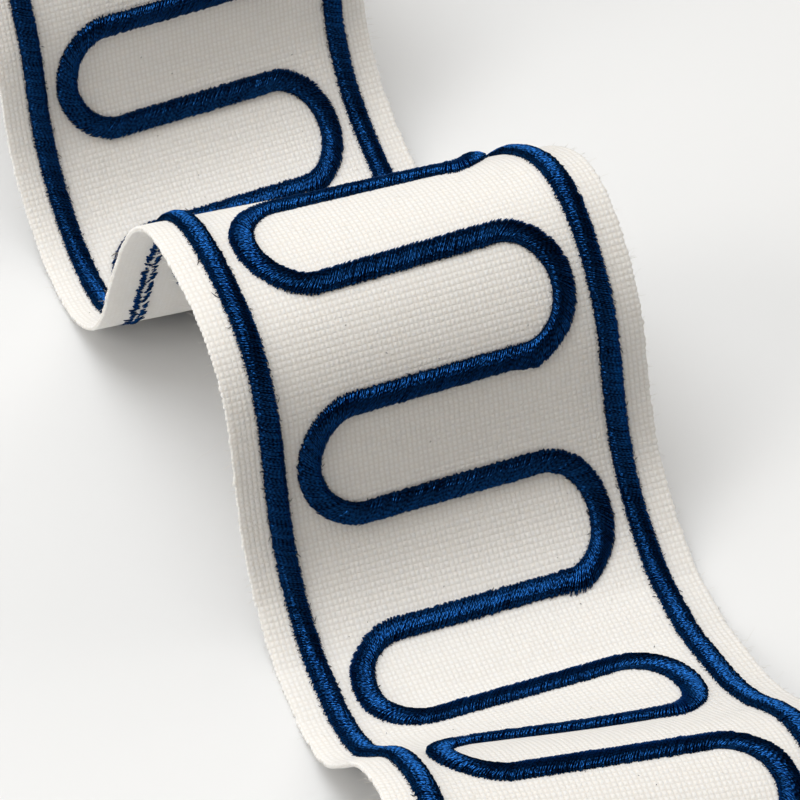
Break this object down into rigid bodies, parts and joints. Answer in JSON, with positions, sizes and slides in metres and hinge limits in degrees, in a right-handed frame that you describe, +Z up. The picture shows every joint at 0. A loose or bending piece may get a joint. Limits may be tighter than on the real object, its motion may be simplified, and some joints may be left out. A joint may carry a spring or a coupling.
{
  "type": "embroidered trim tape",
  "caption": "Cut length of off-white woven cotton tape with a raised navy satin-stitch meander between straight borders, standing in free waves.",
  "frame": {"origin": "bottom centre of the part's box, on the surface that it rests on", "axes": "+Y along the tape towards its far cut end, +Z up, +X across the tape"},
  "size_m": [0.1018, 0.4468, 0.077],
  "materials": {
    "cloth": "plain woven off-white cotton, matt",
    "satin": "navy satin stitch with a silky sheen"
  },
  "bodies": {
    "root": {"tape": "cloth", "border_left": "satin", "border_right": "satin", "meander": "satin"}
  },
  "joints": []
}
